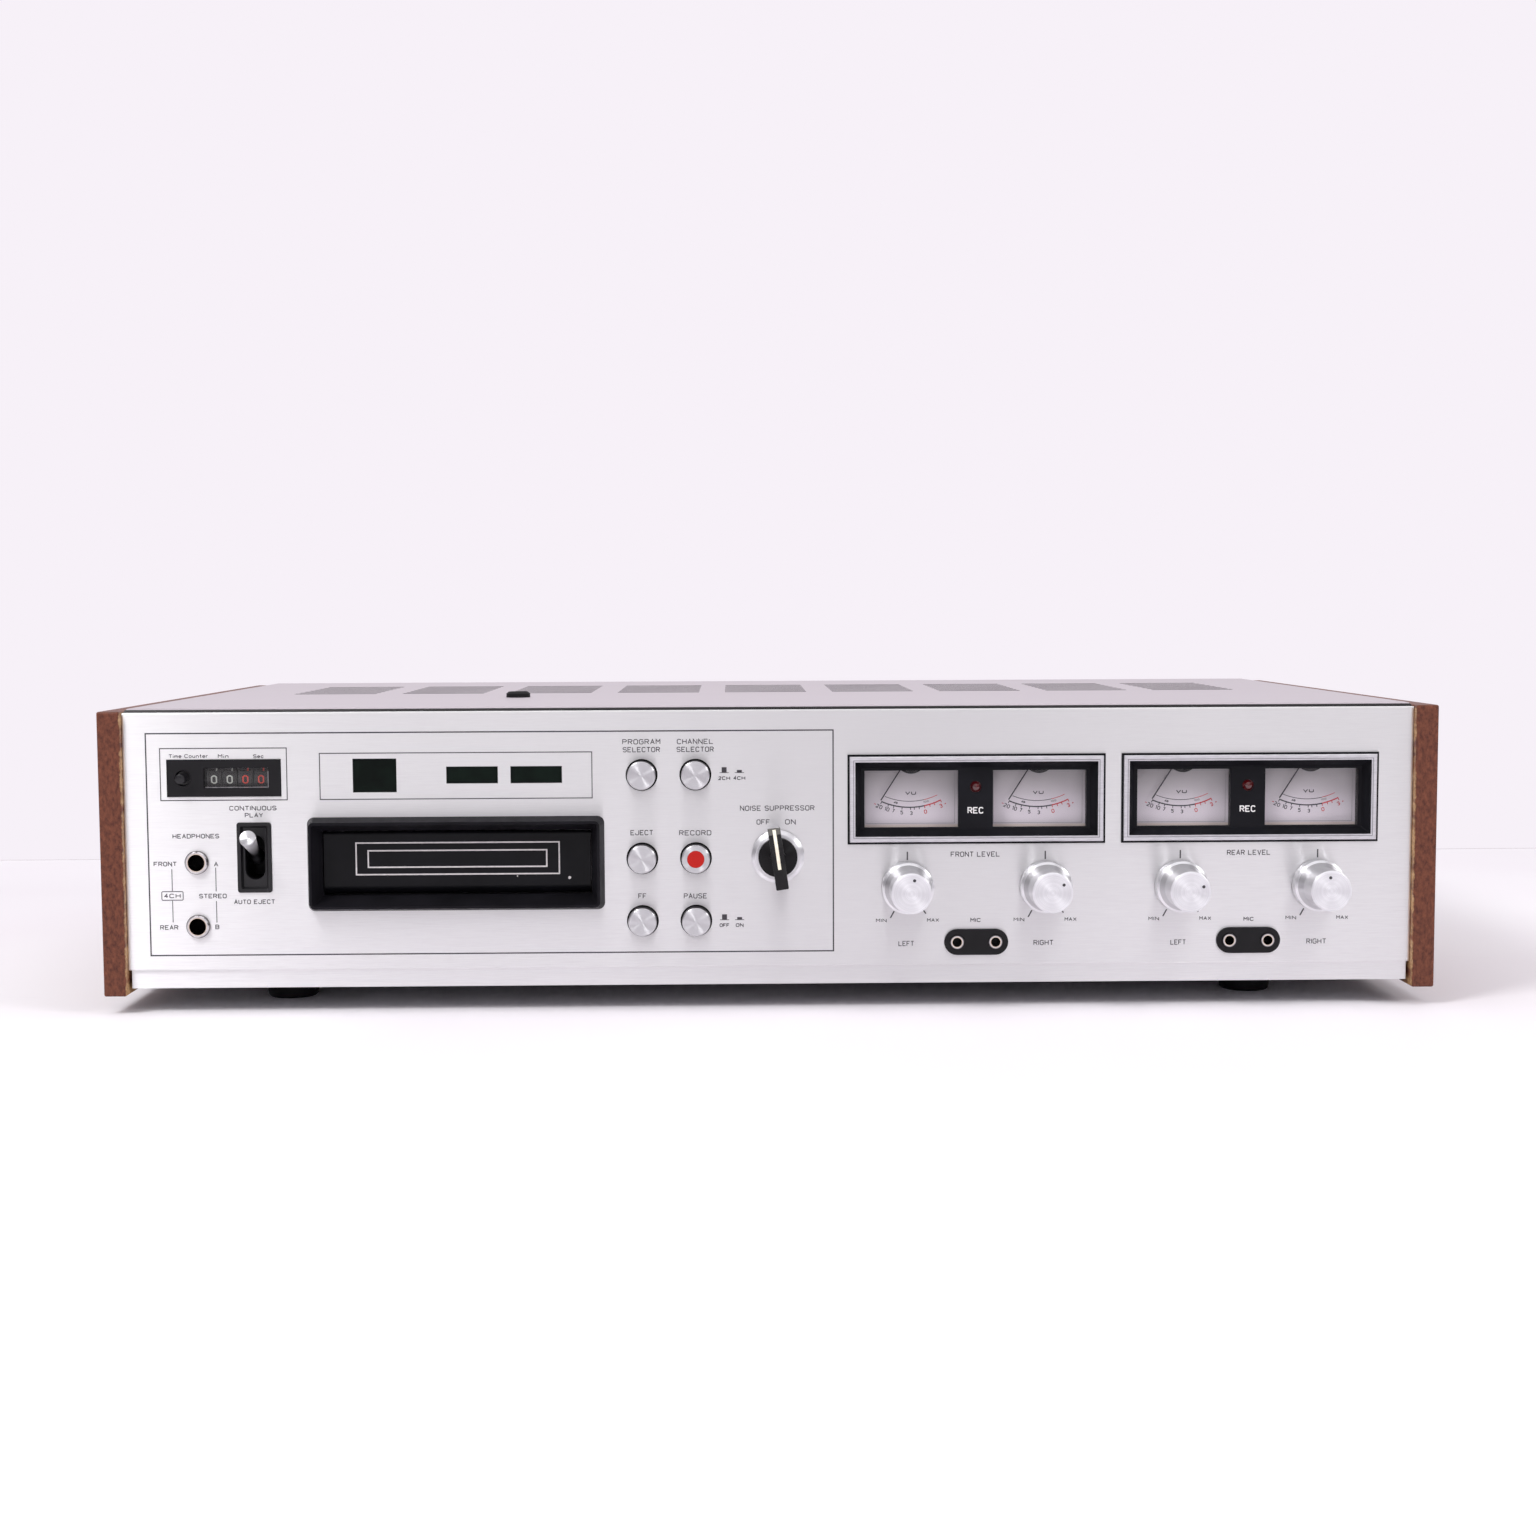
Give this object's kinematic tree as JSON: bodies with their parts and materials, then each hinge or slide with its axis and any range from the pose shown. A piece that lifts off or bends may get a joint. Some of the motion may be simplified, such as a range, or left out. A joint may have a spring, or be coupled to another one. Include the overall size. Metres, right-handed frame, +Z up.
{
  "type": "eight-track tape deck",
  "caption": "Home eight-track tape deck with brushed metal panel, wooden side cheeks, sprung cartridge flap, push buttons, level knobs and paired level meters.",
  "frame": {"origin": "centre of the bounding box on the floor", "axes": "+X to the right seen from the front, +Y to the back, +Z up; the front panel faces -Y"},
  "size_m": [0.51, 0.296, 0.1191],
  "materials": {
    "brushed_panel": "fine horizontal brushing",
    "zinc_steel": "zinc-plated sheet",
    "cover_paint": "satin grey enamel",
    "walnut": "oiled walnut veneer on chipboard",
    "black_rubber": "moulded",
    "black_plastic": "satin moulding",
    "counter_white": "black wheels with numerals",
    "clear_glass": "clear",
    "green_acrylic": "smoked green acrylic",
    "spun_aluminium": "spun and lacquered",
    "red_plastic": "moulded",
    "red_jewel": "faceted jewel",
    "scale_white": "matt printed plate",
    "grey_plastic": "moulded",
    "needle_black": "black paint",
    "machined_steel": "turned",
    "brass": "turned",
    "board": "phenolic board"
  },
  "bodies": {
    "chassis": {"cartridge_bay": "zinc_steel", "cartridge_bezel": "black_plastic", "case_screws": "zinc_steel", "chassis": "zinc_steel", "circuit_board": "board", "cord_gland": "black_plastic", "counter_housing": "black_plastic", "counter_window": "clear_glass", "cover_plug": "black_rubber", "deck_plate": "zinc_steel", "drive_belt": "black_rubber", "front_panel": "brushed_panel", "left_cheek": "walnut", "level_pots": "grey_plastic", "lever_plate": "black_plastic", "meter_bezels": "spun_aluminium", "meter_cases": "black_plastic", "meter_masks": "black_plastic", "meter_scales": "scale_white", "meter_windows": "clear_glass", "mic_jacks": "spun_aluminium", "mic_plates": "black_plastic", "motor_and_solenoid": "machined_steel", "panel_switches": "black_plastic", "phone_jacks": "spun_aluminium", "rear_jacks": "black_plastic", "rear_panel": "zinc_steel", "record_lamps": "red_jewel", "right_cheek": "walnut", "rubber_feet": "black_rubber", "status_windows": "green_acrylic", "top_cover": "cover_paint", "transformer": "machined_steel"},
    "program_button": {"program_button": "spun_aluminium"},
    "channel_button": {"channel_button": "spun_aluminium"},
    "eject_button": {"eject_button": "spun_aluminium"},
    "record_button": {"record_button": "spun_aluminium", "record_insert": "red_plastic"},
    "fast_forward_button": {"fast_forward_button": "spun_aluminium"},
    "pause_button": {"pause_button": "spun_aluminium"},
    "reset_button": {"reset_button": "black_plastic"},
    "front_left_level_knob": {"front_left_level_knob": "spun_aluminium"},
    "front_right_level_knob": {"front_right_level_knob": "spun_aluminium"},
    "rear_left_level_knob": {"rear_left_level_knob": "spun_aluminium"},
    "rear_right_level_knob": {"rear_right_level_knob": "spun_aluminium"},
    "front_left_needle": {"front_left_needle": "needle_black"},
    "front_right_needle": {"front_right_needle": "needle_black"},
    "rear_left_needle": {"rear_left_needle": "needle_black"},
    "rear_right_needle": {"rear_right_needle": "needle_black"},
    "selector_knob": {"selector_knob": "spun_aluminium"},
    "switch_lever": {"switch_lever": "spun_aluminium"},
    "cartridge_door": {"cartridge_door": "black_plastic"},
    "minute_tens_wheel": {"minute_tens_wheel": "counter_white"},
    "minute_units_wheel": {"minute_units_wheel": "counter_white"},
    "second_tens_wheel": {"second_tens_wheel": "counter_white"},
    "second_units_wheel": {"second_units_wheel": "counter_white"},
    "flywheel": {"flywheel": "machined_steel"},
    "motor_pulley": {"motor_pulley": "brass"},
    "program_cam": {"program_cam": "machined_steel"},
    "head_carriage": {"head_carriage": "machined_steel"}
  },
  "joints": [
    {"name": "program_press", "type": "slide", "parent": "chassis", "child": "program_button", "axis": [0, 1, 0], "range_m": [0, 0.0033], "stiffness_N_per_m": 300},
    {"name": "channel_press", "type": "slide", "parent": "chassis", "child": "channel_button", "axis": [0, 1, 0], "range_m": [0, 0.0033], "stiffness_N_per_m": 300},
    {"name": "eject_press", "type": "slide", "parent": "chassis", "child": "eject_button", "axis": [0, 1, 0], "range_m": [0, 0.0033], "stiffness_N_per_m": 300},
    {"name": "record_press", "type": "slide", "parent": "chassis", "child": "record_button", "axis": [0, 1, 0], "range_m": [0, 0.0033], "stiffness_N_per_m": 300},
    {"name": "fast_forward_press", "type": "slide", "parent": "chassis", "child": "fast_forward_button", "axis": [0, 1, 0], "range_m": [0, 0.0033], "stiffness_N_per_m": 300},
    {"name": "pause_press", "type": "slide", "parent": "chassis", "child": "pause_button", "axis": [0, 1, 0], "range_m": [0, 0.0033], "stiffness_N_per_m": 300},
    {"name": "reset_press", "type": "slide", "parent": "chassis", "child": "reset_button", "axis": [0, 1, 0], "range_m": [0, 0.002], "stiffness_N_per_m": 200},
    {"name": "front_left_level", "type": "hinge", "parent": "chassis", "child": "front_left_level_knob", "pos_m": [0.052, -0.128, 0.0468], "axis": [0, 1, 0], "range_deg": [-162, 138]},
    {"name": "front_right_level", "type": "hinge", "parent": "chassis", "child": "front_right_level_knob", "pos_m": [0.105, -0.128, 0.0468], "axis": [0, 1, 0], "range_deg": [-204, 96]},
    {"name": "rear_left_level", "type": "hinge", "parent": "chassis", "child": "rear_left_level_knob", "pos_m": [0.157, -0.128, 0.0468], "axis": [0, 1, 0], "range_deg": [-217, 83]},
    {"name": "rear_right_level", "type": "hinge", "parent": "chassis", "child": "rear_right_level_knob", "pos_m": [0.21, -0.128, 0.0468], "axis": [0, 1, 0], "range_deg": [-144, 156]},
    {"name": "front_left_swing", "type": "hinge", "parent": "chassis", "child": "front_left_needle", "pos_m": [0.0538, -0.128, 0.09765], "axis": [0, -1, 0], "range_deg": [0, 65], "stiffness_Nm_per_rad": 0.0001},
    {"name": "front_right_swing", "type": "hinge", "parent": "chassis", "child": "front_right_needle", "pos_m": [0.1032, -0.128, 0.09765], "axis": [0, -1, 0], "range_deg": [0, 65], "stiffness_Nm_per_rad": 0.0001},
    {"name": "rear_left_swing", "type": "hinge", "parent": "chassis", "child": "rear_left_needle", "pos_m": [0.1588, -0.128, 0.09765], "axis": [0, -1, 0], "range_deg": [0, 65], "stiffness_Nm_per_rad": 0.0001},
    {"name": "rear_right_swing", "type": "hinge", "parent": "chassis", "child": "rear_right_needle", "pos_m": [0.2082, -0.128, 0.09765], "axis": [0, -1, 0], "range_deg": [0, 65], "stiffness_Nm_per_rad": 0.0001},
    {"name": "selector_turn", "type": "hinge", "parent": "chassis", "child": "selector_knob", "pos_m": [0.0023, -0.128, 0.059], "axis": [0, 1, 0], "range_deg": [-8, 22]},
    {"name": "lever_tilt", "type": "hinge", "parent": "chassis", "child": "switch_lever", "pos_m": [-0.1972, -0.123, 0.0598], "axis": [1, 0, 0], "range_deg": [0, 44]},
    {"name": "door_swing", "type": "hinge", "parent": "chassis", "child": "cartridge_door", "pos_m": [-0.1205, -0.12335, 0.06785], "axis": [1, 0, 0], "range_deg": [0, 85], "stiffness_Nm_per_rad": 0.01},
    {"name": "minute_tens_turn", "type": "hinge", "parent": "chassis", "child": "minute_tens_wheel", "pos_m": [-0.21238, -0.1185, 0.09025], "axis": [1, 0, 0], "continuous": true},
    {"name": "minute_units_turn", "type": "hinge", "parent": "chassis", "child": "minute_units_wheel", "pos_m": [-0.20642, -0.1185, 0.09025], "axis": [1, 0, 0], "continuous": true},
    {"name": "second_tens_turn", "type": "hinge", "parent": "chassis", "child": "second_tens_wheel", "pos_m": [-0.20047, -0.1185, 0.09025], "axis": [1, 0, 0], "continuous": true},
    {"name": "second_units_turn", "type": "hinge", "parent": "chassis", "child": "second_units_wheel", "pos_m": [-0.19453, -0.1185, 0.09025], "axis": [1, 0, 0], "continuous": true},
    {"name": "flywheel_spin", "type": "hinge", "parent": "chassis", "child": "flywheel", "pos_m": [-0.087, -0.04, 0.021], "axis": [0, 0, 1], "continuous": true},
    {"name": "motor_spin", "type": "hinge", "parent": "chassis", "child": "motor_pulley", "pos_m": [-0.045, 0.024, 0.021], "axis": [0, 0, 1], "continuous": true},
    {"name": "cam_turn", "type": "hinge", "parent": "chassis", "child": "program_cam", "pos_m": [-0.1205, -0.006, 0.0433], "axis": [0, 0, 1], "range_deg": [0, 270]},
    {"name": "head_lift", "type": "slide", "parent": "chassis", "child": "head_carriage", "axis": [0, 0, 1], "range_m": [0, 0.0029]}
  ],
  "couplings": [
    {"joint": "motor_spin", "follows": "flywheel_spin", "ratio": 5.5},
    {"joint": "cam_turn", "follows": "head_lift", "rad_per_m": 1625},
    {"joint": "second_tens_turn", "follows": "second_units_turn", "ratio": 0.16667},
    {"joint": "minute_units_turn", "follows": "second_units_turn", "ratio": 0.016667},
    {"joint": "minute_tens_turn", "follows": "second_units_turn", "ratio": 0.001667}
  ]
}
